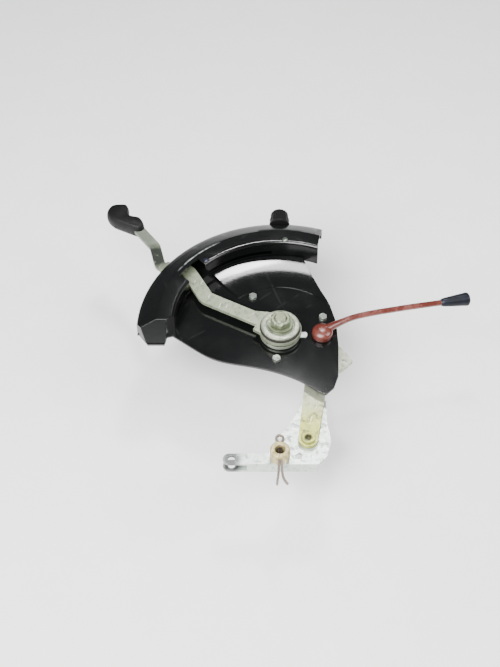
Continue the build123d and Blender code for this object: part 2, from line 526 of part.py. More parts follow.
bolts, nuts = [], []
nut_high = -BRACKET_SHEET
for x, y in BRACKET_BOLTS:
    shank = disc(M6_RADIUS, nut_high - M6_NUT_HEIGHT - M6_TAIL, PLATE_THICK, x, y)
    bolts.append(hexagon(M6_HEAD_FLATS, PLATE_THICK, PLATE_THICK + M6_HEAD_HEIGHT, x, y) + shank)
    nuts.append(hexagon(M6_HEAD_FLATS, nut_high - M6_NUT_HEIGHT, nut_high, x, y, M6_RADIUS + FIT))
save(Compound(children=bolts), "bracket_bolts")
save(Compound(children=nuts), "bracket_nuts")
x, y = SELECTOR_SCREW
screw = hexagon(M6_HEAD_FLATS, PLATE_THICK, PLATE_THICK + M6_HEAD_HEIGHT, x, y)
save(screw + disc(M6_RADIUS, -6, PLATE_THICK, x, y), "selector_screw")
save(hexagon(M6_HEAD_FLATS, -5, 0, x, y, M6_RADIUS + FIT), "selector_screw_nut")
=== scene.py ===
import math

import bmesh
import bpy
import numpy as np
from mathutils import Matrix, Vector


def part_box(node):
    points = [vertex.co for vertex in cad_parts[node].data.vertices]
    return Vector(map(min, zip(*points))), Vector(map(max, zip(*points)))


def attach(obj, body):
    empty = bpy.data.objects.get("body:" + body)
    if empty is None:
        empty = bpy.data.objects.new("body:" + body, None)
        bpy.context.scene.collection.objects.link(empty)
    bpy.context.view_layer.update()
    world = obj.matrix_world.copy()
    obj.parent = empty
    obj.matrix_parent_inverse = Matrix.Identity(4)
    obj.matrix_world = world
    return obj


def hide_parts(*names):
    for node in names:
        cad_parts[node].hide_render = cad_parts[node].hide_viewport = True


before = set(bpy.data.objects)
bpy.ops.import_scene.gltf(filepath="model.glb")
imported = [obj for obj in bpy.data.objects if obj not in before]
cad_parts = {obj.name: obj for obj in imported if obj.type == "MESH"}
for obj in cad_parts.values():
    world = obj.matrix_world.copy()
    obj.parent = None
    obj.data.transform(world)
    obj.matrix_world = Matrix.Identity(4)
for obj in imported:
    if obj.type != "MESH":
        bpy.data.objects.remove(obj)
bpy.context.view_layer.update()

bl_info = {
    "name": "Lever quadrant",
    "version": (1, 0, 0),
    "blender": (4, 5, 0),
    "location": "View3D > Sidebar > Quadrant",
    "description": "Builds the visible pieces and finishes of a hand control lever quadrant",
    "category": "Object",
}

MM = 0.001
TURN = 2 * math.pi

# Sizes that several pieces share. The main pivot stands at the origin.
SHAFT = 8 * MM
PIN = 6 * MM
CREST = 190 * MM
LIP_FOLD = 163 * MM
LIP_SCREWS = 145 * MM
STOP_FOOT = 190.3 * MM
STOP_ANGLE = 89.4

# Widths across flats of the hexagons.
HUB_FLATS = 24 * MM
CRANK_FLATS = 19 * MM
ARM_FLATS = 17 * MM
SMALL_FLATS = 10 * MM

# Edges that turn by more than this many degrees are drawn sharp on each kind of piece.
MOULDED = 60.0
TURNED = 50.0
BENT = 40.0
THREADED = 30.0
HEXAGON = 28.0
FLAT_SHEET = 14.0


def low(node):
    """Lowest height of a frame node."""
    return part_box(node)[0][2]


def high(node):
    """Greatest height of a frame node."""
    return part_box(node)[1][2]


def middle(node):
    """Centre of a frame node's box."""
    a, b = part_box(node)
    return np.array([(a[i] + b[i]) / 2 for i in range(3)])


# ---------------------------------------------------------------- colours and materials


def colour(text):
    """sRGB hex text to a linear red, green, blue, alpha tuple."""
    values = [int(text[i:i + 2], 16) / 255 for i in (1, 3, 5)]
    return tuple(v / 12.92 if v <= 0.04045 else ((v + 0.055) / 1.055) ** 2.4 for v in values) + (1.0,)


def add(tree, kind, inputs=None, give=0, **settings):
    """Adds one node, sets its properties, fills or links its inputs, and gives back one output."""
    node = tree.nodes.new("ShaderNode" + kind)
    for name, value in settings.items():
        setattr(node, name, value)
    for socket, value in (inputs or {}).items():
        if isinstance(value, bpy.types.NodeSocket):
            tree.links.new(value, node.inputs[socket])
        else:
            node.inputs[socket].default_value = value
    return node.outputs[give] if node.outputs else None


def begin(name):
    """A new material's empty node tree, and the position that its patterns are drawn in."""
    material = bpy.data.materials.new(name)
    material.use_nodes = True
    tree = material.node_tree
    tree.nodes.clear()
    return tree, add(tree, "TexCoord", give="Object")


def close(tree, base, layers, height, depth, inputs):
    """Ends a tree: each layer's colour laid over the base where its mask lets it show, relief of the
    given depth in metres, the shader and the output."""
    tone = base
    for mask, over in layers:
        tone = add(tree, "Mix", {0: mask, 6: tone, 7: colour(over)}, 2, data_type="RGBA")
    bump = add(tree, "Bump", {"Height": height, "Distance": depth, "Strength": 0.6})
    shader = add(tree, "BsdfPrincipled", {"Base Color": tone, "Normal": bump, **inputs})
    add(tree, "OutputMaterial", {"Surface": shader})


def patches(tree, place, size, start, end, bottom=0.0, top=1.0, detail=5.0, rough=0.6):
    """Cloudy patches about the given size: noise cut between two values and spread over two levels."""
    cloud = add(tree, "TexNoise", {"Vector": place, "Scale": 1 / size, "Detail": detail,
                                   "Roughness": rough})
    return add(tree, "MapRange", {"Value": cloud, "From Min": start, "From Max": end,
                                  "To Min": bottom, "To Max": top})


def scratches(tree, place, spacing, width, turn):
    """Thin broken lines: the narrow crests of a slightly bent wave, let through in patches."""
    turned_place = add(tree, "Mapping", {"Vector": place, "Rotation": (0, 0, turn)})
    lines = add(tree, "TexWave", {"Vector": turned_place, "Scale": 0.3 / spacing, "Distortion": 2.5,
                                  "Detail": 2.0, "Detail Scale": 0.7}, "Fac")
    thin = add(tree, "MapRange", {"Value": lines, "From Min": 1 - width, "From Max": 1.0})
    here = patches(tree, place, spacing * 1.6, 0.56, 0.64, detail=3.0)
    return add(tree, "Math", {0: thin, 1: here}, operation="MULTIPLY")


def nearness(tree, place, centre, near, far):
    """1 within one distance of a level point and 0 beyond another."""
    flat = add(tree, "Mapping", {"Vector": place, "Scale": (1, 1, 0)})
    away = add(tree, "VectorMath", {0: flat, 1: (centre[0], centre[1], 0)}, "Value", operation="DISTANCE")
    return add(tree, "MapRange", {"Value": away, "From Min": near, "From Max": far,
                                  "To Min": 1.0, "To Max": 0.0})


def chosen(name):
    """A colour that the user has picked."""
    return tuple(getattr(bpy.context.scene.quadrant_colours, name))


def black_enamel(name, sheet, dust, rough, ridge=None):
    """Stoved black enamel on sheet steel: a near-black gloss with orange peel 3 mm across, a film of
    dust in patches and hair scratches. Where ridge gives a radius about the pivot, light grey is laid
    along that fold near where the hand passes: paint rubbed through, which also paints the fold's
    highlight."""
    tree, place = begin(name)
    dusty = patches(tree, place, 45 * MM, 0.5, 0.72, 0.0, 0.4, 6.0)
    hair = add(tree, "Math", {0: scratches(tree, place, 26 * MM, 0.02, 0.9),
                              1: scratches(tree, place, 35 * MM, 0.015, -0.3)}, operation="MAXIMUM")
    hair = add(tree, "Math", {0: hair, 1: 0.17}, operation="MULTIPLY")
    # Light grey along the fold: paint rubbed through, and also the fold's painted highlight.
    rubbed_and_highlight = 0.0
    if ridge:
        inside = nearness(tree, place, (0, 0), ridge - 0.9 * MM, ridge + 0.9 * MM)
        outside = nearness(tree, place, (0, 0), ridge - 2.4 * MM, ridge - 0.9 * MM)
        fold = add(tree, "Math", {0: inside, 1: outside}, operation="SUBTRACT")
        hand_and_highlight_spot = nearness(tree, place, HAND_AND_HIGHLIGHT_PLACE, 22 * MM, 42 * MM)
        fold = add(tree, "Math", {0: fold, 1: hand_and_highlight_spot}, operation="MULTIPLY")
        rubbed_and_highlight = add(tree, "Math", {0: fold, 1: patches(tree, place, 7 * MM, 0.36, 0.6)},
                     operation="MULTIPLY")
    gloss = patches(tree, place, 24 * MM, 0.3, 0.75, rough, rough + 0.02, 3.0)
    gloss = add(tree, "Math", {0: rubbed_and_highlight, 1: 0.25, 2: gloss}, operation="MULTIPLY_ADD")
    peel = add(tree, "TexNoise", {"Vector": place, "Scale": 1 / (3 * MM), "Detail": 1.0})
    close(tree, sheet, ((dusty, dust), (hair, "#3f4242"), (rubbed_and_highlight, "#9da3a1")), peel, 0.03 * MM,
          {"Roughness": gloss, "IOR": 1.5})


def red_enamel(name):
    """Brushed-on brick red enamel: uneven film, chalky where the sun and hands have dulled it, dark
    dirt in the low spots."""
    tree, place = begin(name)
    chalk = patches(tree, place, 26 * MM, 0.42, 0.7, 0.0, 0.75, 6.0)
    dirt = patches(tree, place, 9 * MM, 0.56, 0.72, 0.0, 0.6, 6.0, 0.7)
    chip = patches(tree, place, 4 * MM, 0.73, 0.76, 0.0, 0.8, 3.0)
    gloss = add(tree, "Math", {0: chalk, 1: 0.28, 2: 0.2}, operation="MULTIPLY_ADD")
    film = patches(tree, place, 5 * MM, 0.2, 0.8, detail=3.0)
    close(tree, chosen("red"), ((chalk, "#77443c"), (dirt, "#35140f"), (chip, "#7d7b76")), film, 0.12 * MM,
          {"Roughness": gloss, "IOR": 1.5, "Coat Weight": 0.2, "Coat Roughness": 0.12})


def zinc(name, plate, film, stain, rough, metallic, painted_darkening=(), tinted=None):
    """Electroplated zinc with a chromate film: soft clouds of film 15 mm across, a fine grain, dull
    stains, thin rub lines, and dark rings painted round given places, each a centre, a radius and a colour;
    at the stem, slot, clevis and swivel bore these rings are painted shade.
    Tinted, if given, is a centre, a radius and a colour for thicker film round one place."""
    tree, place = begin(name)
    clouds = patches(tree, place, 17 * MM, 0.34, 0.68)
    grain = patches(tree, place, 1.5 * MM, 0.3, 0.78, detail=3.0, rough=0.7)
    stains = patches(tree, place, 7 * MM, 0.5, 0.68, 0.0, 0.85, 6.0, 0.7)
    rub = scratches(tree, place, 9 * MM, 0.06, 0.35)
    layers = [(clouds, film)]
    if tinted:
        centre, radius, tone = tinted
        layers.append((nearness(tree, place, centre, 0.35 * radius, radius), tone))
    layers.append((stains, stain))
    layers.append((add(tree, "Math", {0: grain, 1: 0.4}, operation="MULTIPLY"), stain))
    layers.append((add(tree, "Math", {0: rub, 1: 0.6}, operation="MULTIPLY"), "#eef0ea"))
    # Dark rings painted round given places; at the stem, slot, clevis and swivel bore they are painted
    # shade.
    for centre, radius, tone in painted_darkening:
        spread = nearness(tree, place, centre, 0.5 * radius, radius)
        broken = patches(tree, place, 5 * MM, 0.16, 0.42)
        layers.append((add(tree, "Math", {0: spread, 1: broken}, operation="MULTIPLY"), tone))
    gloss = add(tree, "Math", {0: grain, 1: 0.16, 2: rough - 0.05}, operation="MULTIPLY_ADD")
    gloss = add(tree, "Math", {0: stains, 1: 0.2, 2: gloss}, operation="MULTIPLY_ADD")
    close(tree, plate, layers, grain, 0.05 * MM, {"Roughness": gloss, "Metallic": metallic})


def moulded(name, base_tone, rubbed_tone, rough, grain):
    """Injection moulded ABS: spark-eroded grain, with an oily polish where fingers rub it."""
    tree, place = begin(name)
    worn = patches(tree, place, 18 * MM, 0.42, 0.7, detail=4.0)
    fine = patches(tree, place, grain, 0.3, 0.8, detail=2.0)
    lint = patches(tree, place, 1.3 * MM, 0.68, 0.76, 0.0, 0.3, 3.0)
    gloss = add(tree, "Math", {0: worn, 1: -0.16, 2: rough}, operation="MULTIPLY_ADD")
    close(tree, base_tone, ((worn, rubbed_tone), (lint, "#5b5c5a")), fine, 0.14 * MM,
          {"Roughness": gloss, "IOR": 1.46, "Specular IOR Level": 0.26})


def friction_lining(name):
    """Moulded friction lining: dark brown fibre with a few brass flecks, dull."""
    tree, place = begin(name)
    stretched = add(tree, "Mapping", {"Vector": place, "Scale": (1, 1, 4)})
    fibre = patches(tree, stretched, 1.2 * MM, 0.3, 0.7, rough=0.8)
    fleck = patches(tree, place, 0.9 * MM, 0.68, 0.72, 0.0, 0.6, 1.0)
    close(tree, colour("#14120f"), ((fibre, "#25211b"), (fleck, "#5e5233")), fibre, 0.15 * MM,
          {"Roughness": 0.85, "IOR": 1.5})


def rusted_wire(name):
    """Steel wire gone brown: powdery rust over most of it, dull grey steel in the gaps."""
    tree, place = begin(name)
    scale = patches(tree, place, 4 * MM, 0.4, 0.6, detail=6.0, rough=0.7)
    powder = patches(tree, place, 1.2 * MM, 0.3, 0.7, detail=4.0)
    steel = add(tree, "Math", {0: 1.0, 1: scale}, operation="SUBTRACT")
    # Painted shade: the wire is darkened where it runs inside the swivel's bore.
    bore_shade = nearness(tree, place, SWIVEL_PLACE, 6 * MM, 9 * MM)
    gloss = add(tree, "Math", {0: scale, 1: 0.35, 2: 0.5}, operation="MULTIPLY_ADD")
    metal = add(tree, "Math", {0: steel, 1: 0.6}, operation="MULTIPLY")
    close(tree, colour("#7b6757"), ((powder, "#5c4a3f"), (steel, "#8a8580"), (bore_shade, "#2b2118")), scale,
          0.25 * MM, {"Roughness": gloss, "Metallic": metal})


def studio_paper(name):
    """Matt white backdrop paper with a barely visible tooth."""
    tree, place = begin(name)
    tooth = patches(tree, place, 60 * MM, 0.3, 0.7, detail=3.0)
    close(tree, chosen("paper"), ((tooth, "#f8f8f8"),), tooth, 0.02 * MM,
          {"Roughness": 0.95})


# Centres of marks on the finishes: painted shade at the stem, slot, clevis and swivel bore, darkening round
# the link pin, and light grey on the fold near where the hand passes, rubbed paint that also paints the
# fold's highlight.
PIN_PLACE = middle("link_pin")[:2]
SWIVEL_PLACE = middle("swivel_boss")[:2]
CLEVIS_PLACE = (-63 * MM, -187 * MM)
SLOT_PLACE = (-171 * MM, 130 * MM)
STEM_PLACE = (-197 * MM, 174 * MM)
# Centre of the light grey on the fold: rubbed paint and also the fold's painted highlight.
HAND_AND_HIGHLIGHT_PLACE = (-113 * MM, 117 * MM)

MAKERS = {
    "gloss_black_enamel": lambda n: black_enamel(n, chosen("black"), "#1a1c1a", 0.085),
    "folded_black_enamel": lambda n: black_enamel(n, chosen("black"), "#1c1e1d", 0.17, LIP_FOLD),
    "satin_black_enamel": lambda n: black_enamel(n, colour("#121314"), "#2a2b29", 0.34),
    # Enamel over the screw; its blue tint paints a bluish reflection on the screw head.
    "painted_over_screw": lambda n: black_enamel(n, colour("#1b1d2b"), "#2b2e3a", 0.25),
    "brick_red_enamel": red_enamel,
    # The stem ring is painted shade on the lever's upper stem; the slot ring is painted shadow where the
    # bar passes under the lip.
    "pale_chromate_zinc": lambda n: zinc(n, chosen("zinc"), "#868f77", "#565c4c", 0.36, 0.35,
                                         ((STEM_PLACE, 42 * MM, "#6d7368"),
                                          (SLOT_PLACE, 28 * MM, "#2b2f29"))),
    "hub_chromate_zinc": lambda n: zinc(n, colour("#b3baa6"), "#99a18b", "#60665a", 0.3, 0.5),
    "nut_chromate_zinc": lambda n: zinc(n, colour("#828b70"), "#6e775d", "#4c5242", 0.3, 0.55),
    # The clevis ring is painted shade in the fork's hole and between its leaves.
    "clear_zinc": lambda n: zinc(n, colour("#cfd6cf"), "#bcc8bf", "#8d948f", 0.3, 0.4,
                                 ((CLEVIS_PLACE, 16 * MM, "#565857"),)),
    "bright_zinc_fixing": lambda n: zinc(n, colour("#878d84"), "#737a71", "#393d38", 0.3, 0.75),
    # Darker round the hollow link pin's bore; the wide yellow ring is thicker chromate film.
    "yellow_chromate_zinc": lambda n: zinc(n, colour("#a7aba0"), "#969b85", "#6f704f", 0.34, 0.4,
                                           ((PIN_PLACE, 7.0 * MM, "#45452c"),),
                                           (PIN_PLACE, 70 * MM, "#a6a952")),
    # The near-black ring is painted shade inside the swivel's bore.
    "tarnished_brass_plate": lambda n: zinc(n, colour("#cdc08e"), "#b8a972", "#6a5c38", 0.4, 0.35,
                                            ((SWIVEL_PLACE, 7.2 * MM, "#141104"),)),
    "rusted_steel_wire": rusted_wire,
    "dark_moulded_plastic": lambda n: moulded(n, chosen("knob"), "#131212", 0.58, 0.9 * MM),
    "blue_black_plastic": lambda n: moulded(n, colour("#0a0c13"), "#161924", 0.44, 0.8 * MM),
    "friction_lining": friction_lining,
    "studio_paper": studio_paper,
}


def finish(name):
    """The named finish, made once."""
    if name not in bpy.data.materials:
        MAKERS[name](name)
    return bpy.data.materials[name]


# ---------------------------------------------------------------- surfaces


def place_mesh(name, points, faces, body, material, nodes=(), crease=35.0):
    """Puts computed points and blocks of faces into an object, turns them outwards and rides it."""
    mesh = bpy.data.meshes.new(name)
    mesh.from_pydata(points, [], [face for block in faces for face in block.tolist()])
    shell = bmesh.new()
    shell.from_mesh(mesh)
    bmesh.ops.remove_doubles(shell, verts=shell.verts, dist=1e-7)
    bmesh.ops.recalc_face_normals(shell, faces=shell.faces)
    shell.to_mesh(mesh)
    shell.free()
    mesh.shade_smooth()
    mesh.set_sharp_from_angle(angle=math.radians(crease))
    piece = bpy.data.objects.new(name, mesh)
    bpy.context.scene.collection.objects.link(piece)
    mesh.materials.append(finish(material))
    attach(piece, body)
    if nodes:
        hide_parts(*nodes)
    return piece


def grid_faces(rows, columns, loop_rows, loop_columns):
    """Quads between neighbouring rows and columns of a grid, wrapping where asked."""
    a = np.arange(rows if loop_rows else rows - 1)
    b = np.arange(columns if loop_columns else columns - 1)
    i, j = [g.ravel() for g in np.meshgrid(a, b, indexing="ij")]
    nexti, nextj = (i + 1) % rows, (j + 1) % columns
    return np.stack([i * columns + j, nexti * columns + j, nexti * columns + nextj, i * columns + nextj], 1)


def closed_tube(grid):
    """Points and faces of rings joined in order, each end closed to a point at its ring's mean."""
    rows, columns = grid.shape[:2]
    ends = np.stack([grid[0].mean(0), grid[-1].mean(0)])
    points = np.concatenate([grid.reshape(-1, 3), ends])
    j = np.arange(columns)
    first, last = rows * columns, (rows - 1) * columns
    start_fan = np.stack([(j + 1) % columns, j, np.full(columns, first)], 1)
    end_fan = np.stack([last + j, last + (j + 1) % columns, np.full(columns, first + 1)], 1)
    return points, [grid_faces(rows, columns, False, True), start_fan, end_fan]


def ring(grid):
    """Points and faces of a grid that closes on itself both ways, as a washer does."""
    rows, columns = grid.shape[:2]
    return grid.reshape(-1, 3), [grid_faces(rows, columns, True, True)]


def join_shells(*shells):
    """Several closed shells as one set of points and faces."""
    starts = np.cumsum([0] + [len(points) for points, _ in shells])
    faces = [block + start for start, (_, own) in zip(starts, shells) for block in own]
    return np.concatenate([points for points, _ in shells]), faces


def rounded(profile, radius, steps=4):
    """Profile corners cut by short arcs: each inner corner is replaced by points of a quadratic curve
    that starts and ends one radius, or less than half a side, away from it."""
    profile = np.asarray(profile, float)
    before, corner, after = profile[:-2], profile[1:-1], profile[2:]
    reach_in = np.minimum(radius, 0.45 * np.linalg.norm(corner - before, axis=1))[:, None]
    reach_out = np.minimum(radius, 0.45 * np.linalg.norm(after - corner, axis=1))[:, None]
    unit_in = (before - corner) / np.maximum(np.linalg.norm(before - corner, axis=1), 1e-12)[:, None]
    unit_out = (after - corner) / np.maximum(np.linalg.norm(after - corner, axis=1), 1e-12)[:, None]
    a, c = corner + unit_in * reach_in, corner + unit_out * reach_out
    t = np.linspace(0, 1, steps + 1)[None, :, None]
    arcs = (1 - t) ** 2 * a[:, None] + 2 * t * (1 - t) * corner[:, None] + t ** 2 * c[:, None]
    return np.concatenate([profile[:1], arcs.reshape(-1, 2), profile[-1:]])


def loop_rounded(profile, radius, steps=4):
    """The same for a closed profile."""
    profile = np.asarray(profile, float)
    return rounded(np.concatenate([profile[-1:], profile, profile[:1]]), radius, steps)[1:-1]


def turned(profile, centre, columns=72):
    """Ring grid of a (radius, height) profile turned about an upright axis: (r cos a, r sin a, h)."""
    profile = np.asarray(profile, float)
    a = np.linspace(0, TURN, columns, endpoint=False)
    radius = np.repeat(profile[:, :1], columns, 1)
    height = np.repeat(profile[:, 1:], columns, 1)
    return np.stack([centre[0] + radius * np.cos(a), centre[1] + radius * np.sin(a), height], 2)


def lay(grid, origin, direction):
    """Turns a grid drawn about +Z so that its axis points along a level direction from an origin."""
    along = np.array([direction[0], direction[1], 0.0])
    along /= np.linalg.norm(along)
    side = np.array([-along[1], along[0], 0.0])
    upward = np.array([0.0, 0.0, 1.0])
    return origin + grid[..., :1] * side + grid[..., 1:2] * upward + grid[..., 2:3] * along


def smooth_path(points, count):
    """Catmull-Rom curve through points, sampled evenly in its parameter: each span is a cubic that
    leaves and enters its points parallel to the line between their neighbours."""
    points = np.asarray(points, float)
    padded = np.concatenate([2 * points[:1] - points[1:2], points, 2 * points[-1:] - points[-2:-1]])
    u = np.linspace(0, len(points) - 1 - 1e-9, count)
    i = u.astype(int)
    t = (u - i)[:, None]
    a, b, c, d = padded[i], padded[i + 1], padded[i + 2], padded[i + 3]
    return 0.5 * (2 * b + (c - a) * t + (2 * a - 5 * b + 4 * c - d) * t ** 2
                  + (3 * b - a - 3 * c + d) * t ** 3)


def level_tube(path, half_width, half_height, columns=40, power=1.0):
    """Ring grid round a path that lies level. Each ring is a superellipse square to the path:
    side = half_width sign(cos a) |cos a|^power, up = half_height sign(sin a) |sin a|^power."""
    ahead = np.gradient(path, axis=0)
    ahead /= np.linalg.norm(ahead, axis=1)[:, None]
    side = np.stack([-ahead[:, 1], ahead[:, 0], np.zeros(len(path))], 1)
    a = np.linspace(0, TURN, columns, endpoint=False)
    across = np.sign(np.cos(a)) * np.abs(np.cos(a)) ** power
    upward = np.sign(np.sin(a)) * np.abs(np.sin(a)) ** power
    width = np.asarray(half_width)[:, None, None] * across[None, :, None]
    height = np.asarray(half_height)[:, None, None] * upward[None, :, None]
    return path[:, None, :] + width * side[:, None, :] + height * np.array([0.0, 0.0, 1.0])


def hexagon_profile(flats, bottom, top, bore, columns=96, collar=0.0):
    """Ring grid of a hexagon nut or head. At angle a the side stands at
    (flats / 2) / cos(a folded into 30 degrees each side), and the top falls at 30 degrees outside the
    circle that touches the flats."""
    a = np.linspace(0, TURN, columns, endpoint=False)
    folded = np.mod(a + math.pi / 6, math.pi / 3) - math.pi / 6
    corner = flats / 2 / np.cos(folded)
    touch = flats / 2 * 0.97
    drop = (corner - touch) * math.tan(math.radians(30))
    one = np.ones(columns)
    radii = [bore * one, touch * one, corner, corner, corner, touch * one, (bore + collar) * one,
             bore * one]
    heights = [bottom * one, bottom * one, bottom + drop, (bottom + top) / 2 * one, top - drop, top * one,
               top * one, (top - collar) * one]
    radii, heights = np.array(radii), np.array(heights)
    return np.stack([radii * np.cos(a), radii * np.sin(a), heights], 2)


def shift(grid, centre):
    """Moves a grid level to a centre."""
    return grid + np.array([centre[0], centre[1], 0.0])


def threaded(radius, bottom, top, pitch, depth, columns=48):
    """Ring grid of a threaded stud end: the radius falls by depth times a triangle wave of
    height / pitch minus angle / full turn, and the last pitch tapers to a chamfer."""
    rows = int((top - bottom) / pitch * 8) + 2
    h = np.linspace(bottom, top, rows)[:, None]
    a = np.linspace(0, TURN, columns, endpoint=False)[None, :]
    wave = np.abs(2 * np.mod(h / pitch - a / TURN, 1.0) - 1)
    fade = np.clip((h - bottom) / pitch, 0, 1) * np.clip((top - h) / (0.6 * pitch), 0, 1)
    chamfer = np.clip((h - top) / (0.8 * pitch) + 1, 0, 1) * 0.7 * pitch
    r = radius - depth * wave * fade - chamfer
    return np.stack([r * np.cos(a), r * np.sin(a), np.broadcast_to(h, r.shape)], 2)


def dressed(node, body, material, edge=0.5 * MM, angle=32.0):
    """A copy of a frame node, merged, with its flat faces made whole and its edges broken by a bevel."""
    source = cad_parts[node]
    mesh = source.data.copy()
    shell = bmesh.new()
    shell.from_mesh(mesh)
    bmesh.ops.remove_doubles(shell, verts=shell.verts, dist=2e-6)
    bmesh.ops.dissolve_limit(shell, angle_limit=math.radians(0.1), verts=shell.verts, edges=shell.edges)
    shell.to_mesh(mesh)
    shell.free()
    mesh.shade_smooth()
    mesh.set_sharp_from_angle(angle=math.radians(FLAT_SHEET))
    piece = bpy.data.objects.new(node + "_dressed", mesh)
    bpy.context.scene.collection.objects.link(piece)
    mesh.materials.clear()
    mesh.materials.append(finish(material))
    bevel = piece.modifiers.new("broken_edges", "BEVEL")
    bevel.width = edge
    bevel.segments = 2
    bevel.limit_method = "ANGLE"
    bevel.angle_limit = math.radians(angle)
    bevel.use_clamp_overlap = True
    bevel.harden_normals = True
    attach(piece, body)
    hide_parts(node)
    return piece


def washer(name, node, body, material, edge=0.4 * MM, bore=None):
    """A flat round washer or disc in place of a frame node, edges rounded."""
    centre = middle(node)
    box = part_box(node)
    outer = (box[1][1] - box[0][1]) / 2
    section = [(bore, box[0][2]), (outer, box[0][2]), (outer, box[1][2]), (bore, box[1][2])]
    points, faces = ring(turned(loop_rounded(section, edge, 3), centre, 96))
    return place_mesh(name, points, faces, body, material, (node,), TURNED)


def plan_angle(degrees):
    """Level unit direction at an angle from +X."""
    return math.cos(math.radians(degrees)), math.sin(math.radians(degrees))


def pillow(outline, bottom, top, edge, rows=9, count=160):
    """Points and faces of a thick plate with fully rounded edges. The outline is a closed Catmull-Rom
    curve. A ring at angle p, from straight down to straight up, stands in from it by
    edge (1 - cos p) along the inward normal, at mid height plus half the thickness times sin p."""
    outline = np.asarray(outline, float)
    n = len(outline)
    u = np.linspace(0, n, count, endpoint=False)
    i = u.astype(int)
    t = (u - i)[:, None]
    a, b, c, d = outline[i - 1], outline[i % n], outline[(i + 1) % n], outline[(i + 2) % n]
    curve = 0.5 * (2 * b + (c - a) * t + (2 * a - 5 * b + 4 * c - d) * t ** 2
                   + (3 * b - a - 3 * c + d) * t ** 3)
    ahead = np.roll(curve, -1, 0) - np.roll(curve, 1, 0)
    ahead /= np.linalg.norm(ahead, axis=1)[:, None]
    inward = np.stack([-ahead[:, 1], ahead[:, 0]], 1)
    area = np.sum(curve[:, 0] * np.roll(curve[:, 1], -1) - curve[:, 1] * np.roll(curve[:, 0], -1))
    inward *= np.sign(area)
    p = np.linspace(-math.pi / 2, math.pi / 2, rows)
    level = curve[None] + inward[None] * (edge * (1 - np.cos(p)))[:, None, None]
    height = (bottom + top) / 2 + (top - bottom) / 2 * np.sin(p)
    grid = np.concatenate([level, np.broadcast_to(height[:, None, None], (rows, count, 1))], 2)
    rim = np.arange(count)[None]
    faces = [grid_faces(rows, count, False, True), rim[:, ::-1], rim + (rows - 1) * count]
    return grid.reshape(-1, 3), faces


# ---------------------------------------------------------------- settings a user may change


class QuadrantSizes(bpy.types.PropertyGroup):
    broken_edge: bpy.props.FloatProperty(
        name="Broken edge", description="Bevel on cut sheet and bar edges", default=0.45 * MM,
        unit="LENGTH", precision=5)
    lever_edge: bpy.props.FloatProperty(
        name="Lever edge", description="Rounding of the lever bar's rolled edges", default=0.9 * MM,
        unit="LENGTH", precision=5)
    knob_rounding: bpy.props.FloatProperty(
        name="Knob rounding", description="How far the throttle knob's edges roll inwards",
        default=4.2 * MM, unit="LENGTH", precision=5)
    rod_radius: bpy.props.FloatProperty(
        name="Rod radius", description="Radius of the selector rod", default=4.0 * MM,
        unit="LENGTH", precision=5)
    rod_root_radius: bpy.props.FloatProperty(
        name="Rod root radius", description="Radius of the selector rod where it leaves its boss",
        default=6.3 * MM, unit="LENGTH", precision=5)
    flute_depth: bpy.props.FloatProperty(
        name="Flute depth", description="Depth of the thumb knob's flutes as a share of its radius",
        default=0.05, min=0.0, max=0.2)
    flutes: bpy.props.IntProperty(
        name="Flutes", description="Number of flutes round the thumb knob", default=18, min=0, max=60)
    thread_pitch: bpy.props.FloatProperty(
        name="Thread pitch", description="Pitch of the pivot shaft's thread", default=2.0 * MM,
        unit="LENGTH", precision=5)


class QuadrantColours(bpy.types.PropertyGroup):
    black: bpy.props.FloatVectorProperty(
        name="Enamel black", description="Paint of the sheet metal", subtype="COLOR", size=4, min=0, max=1,
        default=colour("#0b0c0c"))
    red: bpy.props.FloatVectorProperty(
        name="Enamel red", description="Paint of the selector rod and its boss", subtype="COLOR", size=4,
        min=0, max=1, default=colour("#52231c"))
    zinc: bpy.props.FloatVectorProperty(
        name="Lever plating", description="Plating of the throttle lever bar", subtype="COLOR", size=4,
        min=0, max=1, default=colour("#9da48e"))
    knob: bpy.props.FloatVectorProperty(
        name="Knob plastic", description="Moulded plastic of the throttle and stop knobs", subtype="COLOR",
        size=4, min=0, max=1, default=colour("#09090a"))
    paper: bpy.props.FloatVectorProperty(
        name="Paper", description="Backdrop paper", subtype="COLOR", size=4, min=0, max=1,
        default=colour("#f4f4f3"))


class QuadrantStage(bpy.types.PropertyGroup):
    floor_drop: bpy.props.FloatProperty(
        name="Floor drop", description="Distance of the floor below the mounting face", default=0.09,
        unit="LENGTH")
    room_colour: bpy.props.FloatVectorProperty(
        name="Room colour", description="Colour of the light that fills the room", subtype="COLOR",
        size=4, min=0, max=1, default=(0.93, 0.96, 1.0, 1.0))
    fill: bpy.props.FloatProperty(
        name="Fill light", description="Strength of the even light from all round", default=0.14, min=0)
    key_power: bpy.props.FloatProperty(
        name="Key light", description="Power of the large front softbox", default=172.0,
        subtype="POWER", min=0)
    back_power: bpy.props.FloatProperty(
        name="Back softbox", description="Power of the small softbox behind the quadrant", default=7.0,
        subtype="POWER", min=0)
    side_power: bpy.props.FloatProperty(
        name="Side light", description="Power of the softbox at the right", default=38.0,
        subtype="POWER", min=0)


# ---------------------------------------------------------------- operators


